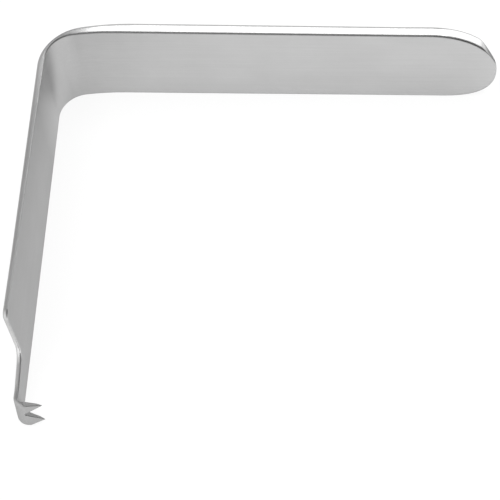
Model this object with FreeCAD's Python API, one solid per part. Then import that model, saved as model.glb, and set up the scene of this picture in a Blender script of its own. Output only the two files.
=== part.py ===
import FreeCAD, Part
import math
import os

os.makedirs("parts", exist_ok=True)

# A hand-held retractor made from one steel strip. Sizes are in millimetres and degrees.
# X runs along the handle to its free end, the blade hangs along -Y, and Z is the width
# of the strip. The straight far edge of the strip lies at Z = 0, where the part rests.
# "Depth" is measured down the blade from the handle's inner face.

# Handle
handle_length = 150.5
handle_width = 33.4
handle_thickness = 4.3
end_narrowing = 0.9
taper_start_share = 0.14
taper_blend = 400.0

# Rounded free end of the handle, thinned toward its nose
nose_height_share = 0.463
end_far_stretch = 1.2
end_far_pulls = (0.64, 0.7)
end_near_stretch = 1.25
end_near_pulls = (0.6, 0.52)
end_straight = 9.5
nose_drop_share = 0.61
nose_slope_start = 5.3
nose_slope_stop = 2.0
nose_slope_blend = 3.5

# Bend between handle and blade
corner_angle = 89.0
inner_bend_radius = 9.8
inner_lead_radius = 90.0
inner_lead_angle = 8.4
outer_bend_radius = 15.9
outer_lead_radius = 93.0
outer_lead_angle = 10.8
lead_margin = 0.4

# Blade
blade_top_thickness = 2.45
blade_end_thickness = 1.75
thinning_stop_share = 0.8
thinning_blend = 300.0
flare_start = 9.0
flare_blend = 200.0
blade_flare = 6.6
shoulder_radius = 2.5
shoulder_rise = 3.5

# Neck on the straight side of the blade
neck_length = 15.9
neck_width = 10.7
neck_root_flare = 2.2
neck_root_radius = 4.2
neck_straight_share = 0.59
neck_blend = 20.0

# Toothed foot, bent toward the handle's side a little askew: its near side is higher
foot_depth = 130.75
foot_thickness = 2.0
foot_reach = 7.4
foot_skew = 0.1
foot_inner_radius = 1.3
heel_radius = 4.0
tooth_root_share = 0.22
tooth_knee_share = 0.8
notch_root_share = 0.16
notch_middle_share = 0.59
notch_root_radius = 0.5
tip_drop = 0.35
tip_land = 0.12
far_tip_share = 0.174
near_tip_share = 0.865

# Rounding of the long edges, as shares of the strip's thinnest place
outer_rounding_share = 0.62
inner_rounding_share = 0.24

# Sizes that follow from the ones above
spare = 15.0
blade_angle = math.radians(corner_angle)
inner_length = handle_length - blade_top_thickness
end_width = handle_width - end_narrowing
shoulder_width = handle_width + blade_flare
shoulder_depth = foot_depth - neck_length
foot_top = foot_depth - foot_thickness
joint_depth = shoulder_depth + 0.6 * neck_length
tip_depth = foot_top + tip_drop
outer_edge_radius = outer_rounding_share * blade_end_thickness
inner_edge_radius = inner_rounding_share * blade_end_thickness


def flat(x, y):
    return FreeCAD.Vector(x, y, 0)


def on_blade(depth, out):
    """A point of the side view: depth down the blade, out from its inner face."""
    x = depth * math.cos(blade_angle) + out * math.sin(blade_angle)
    y = out * math.cos(blade_angle) - depth * math.sin(blade_angle)
    return flat(x, y)


def along_foot(width):
    """How the askew foot's section moves from the far side to this place in its width."""
    return on_blade(-foot_skew * width, 0) + FreeCAD.Vector(0, 0, width)


def meet(first, second, third, fourth):
    """Where the line through two points crosses the line through two others."""
    along = second - first
    across = fourth - third
    gap = third - first
    turn = along.x * across.y - along.y * across.x
    share = (gap.x * across.y - gap.y * across.x) / turn
    return first + along * share


def chain(corners):
    """Edges along the corners, each given as a point and the radius of its rounding."""
    edges = []
    last = corners[0][0]
    for before, (corner, radius), after in zip(corners, corners[1:], corners[2:]):
        if radius == 0:
            edges.append(Part.makeLine(last, corner))
            last = corner
            continue
        back = (before[0] - corner).normalize()
        ahead = (after[0] - corner).normalize()
        half = back.getAngle(ahead) / 2
        reach = radius / math.tan(half)
        inward = (back + ahead).normalize()
        middle = corner + inward * (radius / math.sin(half) - radius)
        start = corner + back * reach
        stop = corner + ahead * reach
        edges.append(Part.makeLine(last, start))
        edges.append(Part.Arc(start, middle, stop).toShape())
        last = stop
    edges.append(Part.makeLine(last, corners[-1][0]))
    return edges


def rounded_corner(start, corner, stop, pulls):
    """A smooth curve that leaves and arrives along the two sides of the corner."""
    curve = Part.BezierCurve()
    leaving = start + (corner - start) * pulls[0]
    arriving = stop + (corner - stop) * pulls[1]
    curve.setPoles([start, leaving, arriving, stop])
    return curve.toShape()


def lead_start(bend_radius, lead_radius, lead_angle):
    """How far from the corner the gentle curve begins to turn, so that both arcs fit."""
    turn = math.radians(180 - corner_angle - lead_angle)
    gentle = lead_radius * math.tan(math.radians(lead_angle) / 2)
    tight = bend_radius * math.tan(turn / 2)
    return (gentle + tight + lead_margin) * math.cos(math.radians(lead_angle))


def inner_side():
    """The inner face from the free end of the handle down to the neck."""
    angle = math.radians(inner_lead_angle)
    lead = flat(lead_start(inner_bend_radius, inner_lead_radius, inner_lead_angle), 0)
    sloping = lead - flat(math.cos(angle), math.sin(angle))
    bend = meet(lead, sloping, on_blade(0, 0), on_blade(shoulder_depth, 0))
    return [
        (flat(inner_length + spare, 0), 0),
        (lead, inner_lead_radius),
        (bend, inner_bend_radius),
        (on_blade(joint_depth, 0), 0),
    ]


def outer_side():
    """The outer face from the neck back to the free end of the handle."""
    angle = math.radians(outer_lead_angle)
    back_top = on_blade(0, -blade_top_thickness)
    back_end = on_blade(thinning_stop_share * shoulder_depth, -blade_end_thickness)
    lead_x = lead_start(outer_bend_radius, outer_lead_radius, outer_lead_angle)
    lead = flat(lead_x - blade_top_thickness, handle_thickness)
    sloping = lead - flat(math.cos(angle), math.sin(angle))
    bend = meet(lead, sloping, back_top, back_end)
    thin_end = handle_thickness * (1 - nose_drop_share)
    return [
        (on_blade(joint_depth, -blade_end_thickness), 0),
        (back_end, thinning_blend),
        (bend, outer_bend_radius),
        (lead, outer_lead_radius),
        (flat(inner_length - nose_slope_start, handle_thickness), nose_slope_blend),
        (flat(inner_length - nose_slope_stop, thin_end), nose_slope_blend),
        (flat(inner_length + spare, thin_end), 0),
    ]


def foot_inner_side():
    """The inner face from the neck round to the end of the foot, at the far side."""
    return [
        (on_blade(shoulder_depth, 0), 0),
        (on_blade(foot_top, 0), foot_inner_radius),
        (on_blade(foot_top, foot_reach + 1), 0),
    ]


def foot_outer_side():
    """The outer face from the end of the foot round the heel to the neck."""
    return [
        (on_blade(foot_depth, foot_reach + 1), 0),
        (on_blade(foot_depth, -blade_end_thickness), heel_radius),
        (on_blade(shoulder_depth, -blade_end_thickness), 0),
    ]


def between(inner, outer):
    """The flat section that lies between an inner and an outer side."""
    edges = chain(inner)
    edges.append(Part.makeLine(inner[-1][0], outer[0][0]))
    edges += chain(outer)
    edges.append(Part.makeLine(outer[-1][0], inner[0][0]))
    return Part.Face(Part.Wire(edges))


def bent_strip():
    """The strip with its foot, bent but not yet cut to its outline."""
    strip = between(inner_side(), outer_side())
    strip = strip.extrude(FreeCAD.Vector(0, 0, shoulder_width + spare))
    foot = between(foot_inner_side(), foot_outer_side())
    foot = foot.extrude(along_foot(neck_width + neck_root_flare))
    return strip.fuse(foot)


def blade_outline_waste():
    """What is cut away beyond the near edge of the handle, the blade and the neck."""
    high = shoulder_width + 2 * spare
    low_end = -foot_depth - spare
    straight_depth = shoulder_depth - shoulder_rise + neck_straight_share * (neck_length + shoulder_rise)
    points = [
        (flat(spare, high), 0),
        (flat(spare, handle_width), 0),
        (flat(-flare_start, handle_width), flare_blend),
        (flat(-shoulder_depth, shoulder_width), shoulder_radius),
        (flat(shoulder_rise - shoulder_depth, neck_width + neck_root_flare), neck_root_radius),
        (flat(-straight_depth, neck_width), neck_blend),
        (flat(low_end, neck_width), 0),
        (flat(low_end, high), 0),
        (flat(spare, high), 0),
    ]
    face = Part.Face(Part.Wire(chain(points)))
    stand_up = FreeCAD.Placement(FreeCAD.Matrix(0, 0, 1, -spare, 1, 0, 0, 0, 0, 1, 0, 0))
    face.Placement = stand_up
    return face.extrude(FreeCAD.Vector(inner_length + 4 * spare, 0, 0))


def handle_end_waste():
    """What is cut away beside the tapered handle and around its rounded free end."""
    far_half = nose_height_share * end_width
    near_half = end_width - far_half
    far_start = inner_length - end_far_stretch * far_half
    near_start = inner_length - end_near_stretch * near_half
    far = inner_length + 2 * spare
    high = shoulder_width + 2 * spare
    taper_start = taper_start_share * inner_length
    taper_stop = near_start - end_straight
    left = taper_start - outer_edge_radius - 5
    top = [
        (flat(left, handle_width), 0),
        (flat(taper_start, handle_width), taper_blend),
        (flat(taper_stop, end_width), taper_blend),
        (flat(near_start, end_width), 0),
    ]
    nose = flat(inner_length, far_half)
    near_corner = flat(inner_length, end_width)
    far_corner = flat(inner_length, 0)
    rounded = [
        rounded_corner(flat(near_start, end_width), near_corner, nose, end_near_pulls),
        rounded_corner(nose, far_corner, flat(far_start, 0), end_far_pulls[::-1]),
    ]
    around = [
        (flat(far_start, 0), 0),
        (flat(far_start, -spare), 0),
        (flat(far, -spare), 0),
        (flat(far, high), 0),
        (flat(left, high), 0),
        (flat(left, handle_width), 0),
    ]
    face = Part.Face(Part.Wire(chain(top) + rounded + chain(around)))
    face.rotate(FreeCAD.Vector(0, 0, 0), FreeCAD.Vector(1, 0, 0), 90)
    face.translate(FreeCAD.Vector(0, -spare, 0))
    return face.extrude(FreeCAD.Vector(0, handle_thickness + 2 * spare, 0))


def in_section(point):
    """Where a point of the solid lies in the side view, with the foot's skew taken out."""
    if point.y < -joint_depth * math.sin(blade_angle):
        point = point - along_foot(point.z)
    return flat(point.x, point.y)


def long_edges(solid, side, foot_side):
    """The edges where one face of the strip meets the strip's narrow sides."""
    lines = Part.Compound([Part.Wire(chain(side)), Part.Wire(chain(foot_side))])
    found = []
    for edge in solid.Edges:
        middle = edge.valueAt((edge.FirstParameter + edge.LastParameter) / 2)
        first = in_section(edge.valueAt(edge.FirstParameter))
        last = in_section(edge.valueAt(edge.LastParameter))
        across = (first - last).Length < 0.001
        spot = Part.Vertex(in_section(middle))
        if not across and lines.distToShape(spot)[0] < 0.001:
            found.append(edge)
    return found


def tooth_waste():
    """What is cut away to leave two pointed teeth with a notch between them."""
    beyond = foot_reach + spare
    root_reach = tooth_root_share * foot_reach
    knee_reach = tooth_knee_share * foot_reach
    tip_x = on_blade(tip_depth, foot_reach).x
    root_x = on_blade(foot_depth, root_reach).x
    notch_x = on_blade(foot_depth, notch_root_share * foot_reach).x
    far_x = on_blade(tip_depth, beyond).x
    outline = [
        (flat(far_x, -spare), 0),
        (flat(root_x, -spare), 0),
        (flat(root_x, 0), 0),
        (flat(tip_x, far_tip_share * neck_width), 0),
        (flat(notch_x, notch_middle_share * neck_width), notch_root_radius),
        (flat(tip_x, near_tip_share * neck_width), 0),
        (flat(root_x, neck_width), 0),
        (flat(root_x, neck_width + spare), 0),
        (flat(far_x, neck_width + spare), 0),
        (flat(far_x, -spare), 0),
    ]
    face = Part.Face(Part.Wire(chain(outline)))
    face.rotate(FreeCAD.Vector(0, 0, 0), FreeCAD.Vector(1, 0, 0), 90)
    face.translate(FreeCAD.Vector(0, -foot_depth - spare, 0))
    beside = face.extrude(FreeCAD.Vector(0, spare + foot_thickness + 1, 0))
    sole = [
        (on_blade(foot_depth, root_reach), 0),
        (on_blade(tip_depth + tip_land, foot_reach), 0),
        (on_blade(tip_depth, beyond), 0),
        (on_blade(foot_depth + spare, beyond), 0),
        (on_blade(foot_depth + spare, root_reach), 0),
        (on_blade(foot_depth, root_reach), 0),
    ]
    top = [
        (on_blade(foot_top, knee_reach), 0),
        (on_blade(tip_depth, foot_reach), 0),
        (on_blade(tip_depth, beyond), 0),
        (on_blade(foot_top - foot_thickness, beyond), 0),
        (on_blade(foot_top - foot_thickness, knee_reach), 0),
        (on_blade(foot_top, knee_reach), 0),
    ]
    cutters = [beside]
    for points in (sole, top):
        side = Part.Face(Part.Wire(chain(points)))
        side.translate(FreeCAD.Vector(0, 0, -spare))
        cutters.append(side.extrude(FreeCAD.Vector(0, 0, neck_width + 2 * spare)))
    for cutter in cutters:
        cutter.rotate(on_blade(foot_depth, 0), FreeCAD.Vector(-1, 0, 0), math.degrees(math.atan(foot_skew)))
    return cutters


def retractor():
    solid = bent_strip()
    solid = solid.cut(blade_outline_waste())
    solid = solid.cut(handle_end_waste()).removeSplitter()
    solid = solid.makeFillet(outer_edge_radius, long_edges(solid, outer_side(), foot_outer_side()))
    solid = solid.makeFillet(inner_edge_radius, long_edges(solid, inner_side(), foot_inner_side()))
    for waste in tooth_waste():
        solid = solid.cut(waste)
    return solid


def centred_at_rest(shape):
    """Moves the shape so that the origin is the middle of its footprint on the floor."""
    box = shape.optimalBoundingBox(False, False)
    shape.translate(FreeCAD.Vector(-box.Center.x, -box.Center.y, -box.ZMin))
    return shape


part = centred_at_rest(retractor())
part.exportStep("parts/retractor.step")
print("volume", round(part.Volume), "faces", len(part.Faces), "solids", len(part.Solids), part.isValid())
print(part.optimalBoundingBox(False, False))
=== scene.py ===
import math

import bpy
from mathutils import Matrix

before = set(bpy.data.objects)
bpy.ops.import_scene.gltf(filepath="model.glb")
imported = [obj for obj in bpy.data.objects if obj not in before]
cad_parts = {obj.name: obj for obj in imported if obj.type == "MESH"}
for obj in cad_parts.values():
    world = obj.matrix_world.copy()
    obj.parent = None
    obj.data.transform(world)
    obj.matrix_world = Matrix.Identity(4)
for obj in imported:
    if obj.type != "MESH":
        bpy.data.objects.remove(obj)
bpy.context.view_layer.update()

# The camera of the photograph, in metres and degrees, in the part's own frame.
camera_place = (0.08584, -0.44079, 0.68000)
camera_turn = (33.179, 4.757, 4.249)
lens_mm = 180
sensor_mm = 36
nearest_seen = 0.01

# Where the handle's inner face and the blade's inner face meet, without their bend.
corner_x = -0.07297
corner_y = 0.06313

# Along Y: where the shoulder begins under the blade, the neck under it, and the foot at the end.
shoulder_top_y = -0.028
neck_top_y = -0.046
foot_top_y = -0.0605

# Along X: where the handle's polished side begins, and where its rounded free end begins.
handle_start_x = -0.068
free_end_x = 0.045

# Each pair below says where a share grows: it is 0 at the first number and 1 at the second.
# In metres along the strip, from the corner: the handle is above 0 and the blade is below.
blade_along = (0.0, -0.03)
bend_from_blade_along = (-0.032, -0.014)
bend_from_handle_along = (0.001, -0.010)

# In metres across the strip, which stands on its far edge and has its near edge on top.
near_edge_z = (0.008, 0.034)

# In metres, in the part's own frame.
past_bend_x = (handle_start_x, handle_start_x + 0.012)
free_half_x = (0.0, 0.001)
tip_x = (free_end_x, free_end_x + 0.022)
under_blade_y = (shoulder_top_y, shoulder_top_y - 0.001)
over_neck_y = (neck_top_y - 0.006, neck_top_y)
over_foot_y = (foot_top_y + 0.001, foot_top_y + 0.003)
foot_y = (foot_top_y, foot_top_y - 0.003)

# By the square of how far the steel faces one way, which is 1 where it faces straight there.
narrow_facing = (0.45, 0.75)
shoulder_facing = (0.25, 0.6)
tip_facing = (0.45, 0.7)
off_slope_facing = (0.02, 0.15)

# By how well the steel and its rounded copy face the same way, which is 1 where it is flat.
worn_match = (0.995, 0.93)

# By a share times the rest of it, which is at most a quarter.
border_product = (0, 0.25)

# Colours of the steel, and how light it stays under painted shade; the bend's satin is painted light.
satin_light = (0.63, 0.63, 0.63, 1)
satin_dark = (0.49, 0.49, 0.49, 1)
# Painted light: a lighter satin in the bend, which lifts the dark reflection there.
painted_bend_light = (0.74, 0.74, 0.74, 1)
polished_colour = (0.92, 0.92, 0.92, 1)
grazing_tint = (0.65, 0.65, 0.65, 1)
# Painted shade: the blade's broad faces are darker toward the near edge.
painted_blade_edge_shade = 0.84
# Painted shade: the foot is darker.
painted_foot_shade = 0.8
# Painted dark lines in place of dark reflections: along the handle's borders, darkest at the free
# end's tip.
painted_border_shade = 0.55
painted_tip_shade = 0.25

# Roughness of the steel.
satin_roughness = 0.45
roughness_spread = 0.05
worn_roughness = 0.32
polished_roughness = 0.07

# How wide the worn edges are and how far the edges are eased, in metres, and how finely each is found.
worn_width = 0.0006
worn_steps = 6
eased_handle_edge = 0.0009
eased_blade_edge = 0.0004
eased_steps = 8

# The two layers of streaks: how fine they are along the strip and across it, and their detail.
broad_streaks = (14, 900, 4)
thin_streaks = (30, 3200, 2)
thin_share = 0.45
streak_roughness = 0.6
streak_contrast = (0.3, 0.7)
relief_strength = 0.3
relief_depth = 0.00005

# The cloudy variation of the satin.
cloud_fineness = 55
cloud_detail = 3
cloud_share = 0.5

# The floor, and how much of its glow the camera and the metal see.
floor_size = 6
floor_colour = (0.92, 0.92, 0.92, 1)
floor_roughness = 0.9
floor_glow_seen = 0.88
floor_glow_in_metal = 0.6

# The soft light that the handle's near side mirrors, in metres, degrees and watts.
softbox_place = (0.014, 0.344, 0.36)
softbox_size = (0.35, 0.08)
softbox_turn = 5.6
softbox_power = 0.105

# The soft light overhead, which the steel doesn't mirror.
overhead_place = (0.1, -0.1, 1.5)
overhead_size = (2.0, 2.0)
overhead_power = 35

# The sky's colours, and where each grows by the X or the Y of the direction looked in.
front_sky = (0.19, 0.19, 0.19, 1)
left_sky = (1.2, 1.2, 1.2, 1)
left_sky_x = (-0.17, -0.23)
side_sky = (0.38, 0.38, 0.38, 1)
side_sky_x = (0.6, 0.35)
side_sky_y = (-0.15, 0.5)
end_sky = (1.3, 1.3, 1.3, 1)
end_sky_x = (0.0, 0.3)
end_sky_y = (0.597, 0.608)
low_back_sky = (0.62, 0.62, 0.62, 1)
low_back_sky_x = (0.15, 0.0)
low_back_sky_y = (0.62, 0.7)

black = (0, 0, 0, 1)
white = (1, 1, 1, 1)

# Blender's Mix node has several sockets of one name, so they are told apart by number.
mix_share = 0
mix_values = (2, 3)
mix_colours = (6, 7)
mixed_value_out = 0
mixed_colour_out = 2


def clear_selection():
    bpy.ops.object.select_all(action="DESELECT")


def add_node(tree, kind, place, **settings):
    node = tree.nodes.new(kind)
    node.location = place
    for name, value in settings.items():
        setattr(node, name, value)
    return node


def add_socket(group, name, direction, kind):
    group.interface.new_socket(name=name, in_out=direction, socket_type=kind)


def feed(tree, source, inlet):
    """Link the source where it is a socket, and set it where it is a plain value."""
    if isinstance(source, bpy.types.NodeSocket):
        tree.links.new(source, inlet)
    else:
        inlet.default_value = source


def ramp(tree, source, span, place, heights=(0, 1), **settings):
    """The first height where the span starts, the second where it stops, and a ramp between them."""
    node = add_node(tree, "ShaderNodeMapRange", place, **settings)
    node.inputs["From Min"].default_value = span[0]
    node.inputs["From Max"].default_value = span[1]
    node.inputs["To Min"].default_value = heights[0]
    node.inputs["To Max"].default_value = heights[1]
    tree.links.new(source, node.inputs["Value"])
    return node.outputs[0]


def rest_of(tree, share, place):
    """What the share leaves: 1 where it is 0, and 0 where it is 1 or more."""
    return ramp(tree, share, (1, 0), place)


def combined(tree, operation, first, second, place):
    node = add_node(tree, "ShaderNodeMath", place, operation=operation)
    feed(tree, first, node.inputs[0])
    feed(tree, second, node.inputs[1])
    return node.outputs[0]


def times(tree, first, second, place):
    return combined(tree, "MULTIPLY", first, second, place)


def plus(tree, first, second, place):
    return combined(tree, "ADD", first, second, place)


def mixed_value(tree, share, first, second, place):
    """The first value where the share is 0, and the second where it is 1."""
    node = add_node(tree, "ShaderNodeMix", place, data_type="FLOAT")
    feed(tree, share, node.inputs[mix_share])
    feed(tree, first, node.inputs[mix_values[0]])
    feed(tree, second, node.inputs[mix_values[1]])
    return node.outputs[mixed_value_out]


def mixed_colour(tree, share, first, second, place):
    """The first colour where the share is 0, and the second where it is 1."""
    node = add_node(tree, "ShaderNodeMix", place, data_type="RGBA")
    feed(tree, share, node.inputs[mix_share])
    feed(tree, first, node.inputs[mix_colours[0]])
    feed(tree, second, node.inputs[mix_colours[1]])
    return node.outputs[mixed_colour_out]


def split(tree, vector, place):
    """The X, Y and Z of a vector, by those names."""
    node = add_node(tree, "ShaderNodeSeparateXYZ", place)
    tree.links.new(vector, node.inputs[0])
    return node.outputs


def place_on_part(tree, place):
    """The X, Y and Z of a spot on the steel, in the part's own frame."""
    spot = add_node(tree, "ShaderNodeTexCoord", place)
    return split(tree, spot.outputs["Object"], (place[0] + 200, place[1]))


def place_group(tree, group, place, **sources):
    """Place a node group, feed its inputs by their names, and hand back its outputs."""
    node = add_node(tree, "ShaderNodeGroup", place, node_tree=group)
    for name, source in sources.items():
        feed(tree, source, node.inputs[name])
    return node.outputs


def along_strip_group():
    """Coordinates that follow the bent strip: length, thickness and width."""
    group = bpy.data.node_groups.new("Along the strip", "ShaderNodeTree")
    add_socket(group, "Along", "OUTPUT", "NodeSocketVector")
    out = add_node(group, "NodeGroupOutput", (900, 0))
    where = place_on_part(group, (-600, 0))
    right = combined(group, "SUBTRACT", where["X"], corner_x, (-200, 120))
    down = combined(group, "SUBTRACT", corner_y, where["Y"], (-200, -80))
    length = combined(group, "SUBTRACT", right, down, (100, 120))
    inward = combined(group, "MINIMUM", right, down, (100, -80))
    joined = add_node(group, "ShaderNodeCombineXYZ", (500, 0))
    group.links.new(length, joined.inputs["X"])
    group.links.new(inward, joined.inputs["Y"])
    group.links.new(where["Z"], joined.inputs["Z"])
    group.links.new(joined.outputs[0], out.inputs["Along"])
    return group


def streak_layer(group, along, streaks, place):
    """Noise that is drawn out along the strip."""
    fine_along, fine_across, detail = streaks
    drawn_out = add_node(group, "ShaderNodeMapping", place)
    drawn_out.inputs["Scale"].default_value = (fine_along, fine_across, fine_across)
    group.links.new(along, drawn_out.inputs["Vector"])
    noise = add_node(group, "ShaderNodeTexNoise", (place[0] + 250, place[1]))
    noise.inputs["Scale"].default_value = 1
    noise.inputs["Detail"].default_value = detail
    noise.inputs["Roughness"].default_value = streak_roughness
    group.links.new(drawn_out.outputs[0], noise.inputs["Vector"])
    return noise.outputs[0]


def brushed_grain_group():
    """Fine streaks along the strip, as a value from 0 to 1."""
    group = bpy.data.node_groups.new("Brushed grain", "ShaderNodeTree")
    add_socket(group, "Along", "INPUT", "NodeSocketVector")
    add_socket(group, "Streaks", "OUTPUT", "NodeSocketFloat")
    inlet = add_node(group, "NodeGroupInput", (-900, 0))
    out = add_node(group, "NodeGroupOutput", (900, 0))
    broad = streak_layer(group, inlet.outputs["Along"], broad_streaks, (-400, 0))
    thin = streak_layer(group, inlet.outputs["Along"], thin_streaks, (-400, -300))
    both = mixed_value(group, thin_share, broad, thin, (200, 0))
    group.links.new(ramp(group, both, streak_contrast, (500, 0)), out.inputs["Streaks"])
    return group


def edge_wear_group():
    """A mask that is 1 along sharp edges, where handling has smoothed the steel."""
    group = bpy.data.node_groups.new("Edge wear", "ShaderNodeTree")
    add_socket(group, "Width", "INPUT", "NodeSocketFloat")
    add_socket(group, "Edges", "OUTPUT", "NodeSocketFloat")
    inlet = add_node(group, "NodeGroupInput", (-900, 0))
    out = add_node(group, "NodeGroupOutput", (900, 0))
    rounded = add_node(group, "ShaderNodeBevel", (-600, 0), samples=worn_steps)
    group.links.new(inlet.outputs["Width"], rounded.inputs["Radius"])
    facing = add_node(group, "ShaderNodeNewGeometry", (-600, -200))
    match = add_node(group, "ShaderNodeVectorMath", (-300, 0), operation="DOT_PRODUCT")
    group.links.new(rounded.outputs[0], match.inputs[0])
    group.links.new(facing.outputs["Normal"], match.inputs[1])
    edges = ramp(group, match.outputs["Value"], worn_match, (0, 0))
    group.links.new(edges, out.inputs["Edges"])
    return group


def free_end_side(group, facing, where):
    """How far the free end's rounded side faces along X, without the slope on its broad face."""
    on_free_half = ramp(group, where["X"], free_half_x, (-700, -250))
    off_slope = ramp(group, facing["Z"], off_slope_facing, (-700, 200))
    on_curve = times(group, on_free_half, off_slope, (-550, 100))
    return times(group, facing["X"], on_curve, (-450, -100))


def shoulder_side(group, facing, where, over_foot):
    """How far the strip's near side faces along Y, between the blade and the foot."""
    under_blade = ramp(group, where["Y"], under_blade_y, (-900, -450))
    between = times(group, under_blade, over_foot, (-700, -450))
    return times(group, facing["Y"], between, (-450, -300))


def polished_share(group, sideways, on_shoulder, where):
    """The narrow sides of the handle past its bend, and of the shoulder down to the neck."""
    narrow = ramp(group, sideways, narrow_facing, (200, 0))
    over_neck = ramp(group, where["Y"], over_neck_y, (-700, -650))
    narrow = times(group, narrow, over_neck, (450, 0))
    past_bend = ramp(group, where["X"], past_bend_x, (-700, -850))
    on_curve = ramp(group, on_shoulder, shoulder_facing, (200, -400))
    shiny = combined(group, "MAXIMUM", past_bend, on_curve, (450, -500))
    return times(group, narrow, shiny, (700, -200))


def painted_line_share(group, sideways, broad, end_side, over_foot):
    """Where dark lines are painted in place of dark reflections: the borders between the broad faces
    and the narrow sides, and the free end's tip.
    """
    border = times(group, sideways, broad, (450, -700))
    border = ramp(group, border, border_product, (700, -700))
    tip = ramp(group, end_side, tip_facing, (450, -900))
    painted_dark = combined(group, "MAXIMUM", border, tip, (850, -800))
    return times(group, painted_dark, over_foot, (950, -650))


def narrow_sides_group():
    """Masks for the strip's broad faces, its polished narrow sides, and the borders between them where
    dark lines are painted.
    """
    group = bpy.data.node_groups.new("Narrow sides", "ShaderNodeTree")
    add_socket(group, "Normal", "INPUT", "NodeSocketVector")
    for name in ("Broad", "Polished", "Painted lines"):
        add_socket(group, name, "OUTPUT", "NodeSocketFloat")
    inlet = add_node(group, "NodeGroupInput", (-1100, 0))
    out = add_node(group, "NodeGroupOutput", (1100, 0))
    squares = add_node(group, "ShaderNodeVectorMath", (-900, 0), operation="MULTIPLY")
    group.links.new(inlet.outputs["Normal"], squares.inputs[0])
    group.links.new(inlet.outputs["Normal"], squares.inputs[1])
    facing = split(group, squares.outputs[0], (-700, 0))
    where = place_on_part(group, (-1100, -300))
    over_foot = ramp(group, where["Y"], over_foot_y, (-950, -650))
    end_side = free_end_side(group, facing, where)
    on_shoulder = shoulder_side(group, facing, where, over_foot)
    sideways = plus(group, facing["Z"], end_side, (-250, -50))
    sideways = plus(group, sideways, on_shoulder, (-50, -150))
    broad = rest_of(group, sideways, (200, -700))
    polished = polished_share(group, sideways, on_shoulder, where)
    border = painted_line_share(group, sideways, broad, end_side, over_foot)
    group.links.new(broad, out.inputs["Broad"])
    group.links.new(polished, out.inputs["Polished"])
    group.links.new(border, out.inputs["Painted lines"])
    return group


def eased_normal(tree, strip):
    """The way the steel faces once its edges are eased, less on the blade than on the handle."""
    radii = (eased_handle_edge, eased_blade_edge)
    radius = ramp(tree, strip["X"], blade_along, (-1850, -600), radii)
    eased = add_node(tree, "ShaderNodeBevel", (-1600, -600), samples=eased_steps)
    tree.links.new(radius, eased.inputs["Radius"])
    return eased.outputs[0]


def satin_colour(tree, along, strip, streaks):
    """Satin grey with streaks and faint clouds, with painted light that makes the bend lighter."""
    clouds = add_node(tree, "ShaderNodeTexNoise", (-1350, 300))
    clouds.inputs["Scale"].default_value = cloud_fineness
    clouds.inputs["Detail"].default_value = cloud_detail
    tree.links.new(along, clouds.inputs["Vector"])
    pattern = mixed_value(tree, cloud_share, streaks, clouds.outputs[0], (-1100, 200))
    satin = mixed_colour(tree, pattern, satin_dark, satin_light, (-850, 200))
    past_blade = ramp(tree, strip["X"], bend_from_blade_along, (-1100, 1700))
    before_handle = ramp(tree, strip["X"], bend_from_handle_along, (-1100, 1950))
    in_bend = times(tree, past_blade, before_handle, (-900, 1800))
    return mixed_colour(tree, in_bend, satin, painted_bend_light, (-750, 300))


def satin_with_painted_shade(tree, satin, strip, where, broad, on_blade):
    """The satin with painted shade: darker toward the near edge of the blade's broad faces, and on the
    foot.
    """
    edge_share = ramp(tree, strip["Z"], near_edge_z, (-1100, 550), (0, 1 - painted_blade_edge_shade))
    painted_blade_shade_share = times(tree, on_blade, edge_share, (-700, 650))
    painted_blade_shade_share = times(tree, painted_blade_shade_share, broad, (-600, 750))
    shaded = mixed_colour(tree, painted_blade_shade_share, satin, black, (-650, 450))
    painted_foot_shade_share = ramp(tree, where["Y"], foot_y, (-1100, 1100), (0, 1 - painted_foot_shade))
    return mixed_colour(tree, painted_foot_shade_share, shaded, black, (-500, 450))


def with_painted_lines(tree, colour, where, border, on_blade):
    """The colour with painted dark lines, which stand in for dark reflections, on the handle's
    borders, darkest at the free end's tip.
    """
    darkening = (1 - painted_border_shade, 1 - painted_tip_shade)
    darkening = ramp(tree, where["X"], tip_x, (-1100, 1400), darkening)
    off_blade = rest_of(tree, on_blade, (-1100, 1000))
    darkening = times(tree, darkening, off_blade, (-900, 1200))
    share = times(tree, border, darkening, (-700, 1200))
    return mixed_colour(tree, share, colour, black, (-350, 300))


def steel_roughness(tree, streaks, worn, polished):
    """Satin that varies with the streaks, smoother on worn edges, smoothest on polished sides."""
    satin_range = (satin_roughness - roughness_spread, satin_roughness + roughness_spread)
    rough = ramp(tree, streaks, (0, 1), (-1100, -100), satin_range)
    rough = mixed_value(tree, worn, rough, worn_roughness, (-850, -250))
    return mixed_value(tree, polished, rough, polished_roughness, (-550, -100))


def steel_relief(tree, streaks, polished, eased):
    """The eased edges, and over them the streaks as a faint relief where nothing is polished."""
    brushed = rest_of(tree, polished, (-850, -500))
    height = times(tree, streaks, brushed, (-700, -400))
    relief = add_node(tree, "ShaderNodeBump", (-550, -350))
    relief.inputs["Strength"].default_value = relief_strength
    relief.inputs["Distance"].default_value = relief_depth
    tree.links.new(height, relief.inputs["Height"])
    tree.links.new(eased, relief.inputs["Normal"])
    return relief.outputs[0]


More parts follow.
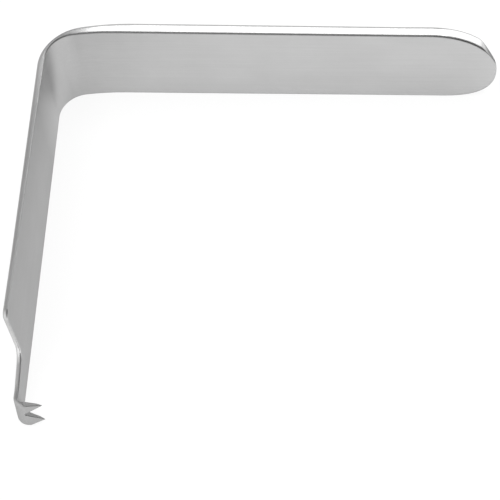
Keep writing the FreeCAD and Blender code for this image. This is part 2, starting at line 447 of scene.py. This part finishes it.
def steel_material():
    """Stainless steel with satin broad faces, brushed lengthwise, and polished narrow sides, with
    painted light, painted shade and painted dark lines in its colour.
    """
    steel = bpy.data.materials.new("Satin stainless steel")
    steel.use_nodes = True
    tree = steel.node_tree
    shader = tree.nodes["Principled BSDF"]
    shader.inputs["Metallic"].default_value = 1
    shader.inputs["Specular Tint"].default_value = grazing_tint

    where = place_on_part(tree, (-1600, 1100))
    along = place_group(tree, along_strip_group(), (-1600, 0))["Along"]
    streaks = place_group(tree, brushed_grain_group(), (-1350, 0), Along=along)["Streaks"]
    worn = place_group(tree, edge_wear_group(), (-1350, -300), Width=worn_width)["Edges"]
    strip = split(tree, along, (-1350, 700))
    on_blade = ramp(tree, strip["X"], blade_along, (-1100, 800))
    eased = eased_normal(tree, strip)
    sides = place_group(tree, narrow_sides_group(), (-1350, -500), Normal=eased)
    polished = sides["Polished"]

    # The colour: satin with painted light in the bend and painted shade on the blade and foot, then
    # polish, then painted dark lines.
    colour = satin_colour(tree, along, strip, streaks)
    colour = satin_with_painted_shade(tree, colour, strip, where, sides["Broad"], on_blade)
    colour = mixed_colour(tree, polished, colour, polished_colour, (-550, 200))
    colour = with_painted_lines(tree, colour, where, sides["Painted lines"], on_blade)
    rough = steel_roughness(tree, streaks, worn, polished)
    relief = steel_relief(tree, streaks, polished, eased)
    tree.links.new(colour, shader.inputs["Base Color"])
    tree.links.new(rough, shader.inputs["Roughness"])
    tree.links.new(relief, shader.inputs["Normal"])
    return steel


def floor_material():
    """A white floor that keeps a faint shadow, and glows in what the steel mirrors too."""
    paint = bpy.data.materials.new("White studio floor")
    paint.use_nodes = True
    tree = paint.node_tree
    shader = tree.nodes["Principled BSDF"]
    shader.inputs["Base Color"].default_value = floor_colour
    shader.inputs["Roughness"].default_value = floor_roughness
    shader.inputs["Specular IOR Level"].default_value = 0
    glow = add_node(tree, "ShaderNodeEmission", (0, -300))
    glow.inputs["Color"].default_value = white
    ray = add_node(tree, "ShaderNodeLightPath", (-600, 300)).outputs
    seen = combined(tree, "MAXIMUM", ray["Is Camera Ray"], ray["Is Transmission Ray"], (-350, 300))
    seen = times(tree, seen, floor_glow_seen, (-150, 300))
    mirrored = times(tree, ray["Is Glossy Ray"], floor_glow_in_metal, (-150, 150))
    both = add_node(tree, "ShaderNodeMixShader", (300, 0))
    tree.links.new(plus(tree, seen, mirrored, (50, 300)), both.inputs[0])
    tree.links.new(shader.outputs[0], both.inputs[1])
    tree.links.new(glow.outputs[0], both.inputs[2])
    tree.links.new(both.outputs[0], tree.nodes["Material Output"].inputs["Surface"])
    return paint


def add_floor():
    clear_selection()
    bpy.ops.mesh.primitive_plane_add(size=floor_size, location=(0, 0, 0))
    floor = bpy.context.object
    floor.name = "studio_floor"
    floor.data.materials.append(floor_material())


def add_lamp(name, place, size, power, turn=0):
    """A soft light that shines straight down and doesn't show in the picture."""
    clear_selection()
    bpy.ops.object.light_add(type="AREA", location=place, rotation=(0, 0, math.radians(turn)))
    lamp = bpy.context.object
    lamp.name = name
    lamp.data.shape = "RECTANGLE"
    lamp.data.size, lamp.data.size_y = size
    lamp.data.energy = power
    lamp.visible_camera = False
    return lamp


def sky_step(tree, source, span, place):
    """0 where the span starts, 1 where it stops, and smooth between them."""
    return ramp(tree, source, span, place, interpolation_type="SMOOTHSTEP")


def sky_corner(tree, toward, span_x, span_y, place):
    """The part of the sky that lies past a span of X and a span of Y."""
    past_x = sky_step(tree, toward["X"], span_x, (place[0], place[1] + 100))
    past_y = sky_step(tree, toward["Y"], span_y, (place[0], place[1] - 100))
    return times(tree, past_x, past_y, (place[0] + 250, place[1]))


def set_world():
    """A soft studio sky: dark in front and white to the left, with grey behind the blade, white
    past the free end, and a lighter grey low behind the handle, each over those before it."""
    world = bpy.data.worlds.new("Studio")
    bpy.context.scene.world = world
    world.use_nodes = True
    tree = world.node_tree
    direction = add_node(tree, "ShaderNodeTexCoord", (-1500, 0))
    toward = split(tree, direction.outputs["Generated"], (-1300, 0))
    left = sky_step(tree, toward["X"], left_sky_x, (-1050, 600))
    beside = sky_corner(tree, toward, side_sky_x, side_sky_y, (-1050, 200))
    past_end = sky_corner(tree, toward, end_sky_x, end_sky_y, (-1050, -300))
    behind_handle = sky_corner(tree, toward, low_back_sky_x, low_back_sky_y, (-1050, -800))
    sky = mixed_colour(tree, left, front_sky, left_sky, (-750, 400))
    sky = mixed_colour(tree, beside, sky, side_sky, (-550, 200))
    sky = mixed_colour(tree, past_end, sky, end_sky, (-350, 100))
    sky = mixed_colour(tree, behind_handle, sky, low_back_sky, (-150, 0))
    tree.links.new(sky, tree.nodes["Background"].inputs["Color"])


def set_camera():
    clear_selection()
    turn = [math.radians(angle) for angle in camera_turn]
    bpy.ops.object.camera_add(location=camera_place, rotation=turn)
    camera = bpy.context.object
    camera.data.lens = lens_mm
    camera.data.sensor_width = sensor_mm
    camera.data.clip_start = nearest_seen
    bpy.context.scene.camera = camera


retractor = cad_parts["retractor"]
steel = steel_material()
for slot in retractor.material_slots:
    slot.material = steel

add_floor()
add_lamp("handle_softbox", softbox_place, softbox_size, softbox_power, softbox_turn)
overhead = add_lamp("overhead_softbox", overhead_place, overhead_size, overhead_power)
overhead.visible_glossy = False
set_world()
set_camera()

bpy.context.scene.view_settings.view_transform = "Standard"
